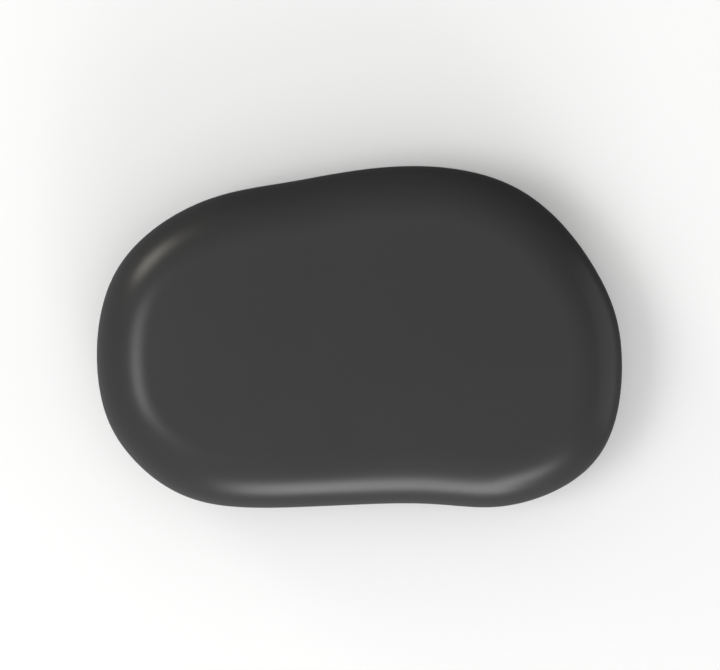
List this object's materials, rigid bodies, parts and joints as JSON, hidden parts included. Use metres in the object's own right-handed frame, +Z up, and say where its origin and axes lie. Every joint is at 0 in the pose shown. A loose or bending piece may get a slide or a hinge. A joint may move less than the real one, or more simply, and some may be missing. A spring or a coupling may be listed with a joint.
{
  "type": "massage stone",
  "caption": "Flat, palm-sized polished basalt pebble with a softly rounded edge, a shallow waist on one long side and a flat underside, for hot stone massage.",
  "frame": {"origin": "middle of the bounding box's underside, on the surface that the stone lies on", "axes": "+X along the stone's length towards its fuller end, +Y across it away from the shallow waist, +Z up out of the crowned upper face"},
  "size_m": [0.08, 0.052, 0.018],
  "materials": {
    "basalt": "satin polished"
  },
  "bodies": {
    "root": {"massage_stone": "basalt"}
  },
  "joints": []
}
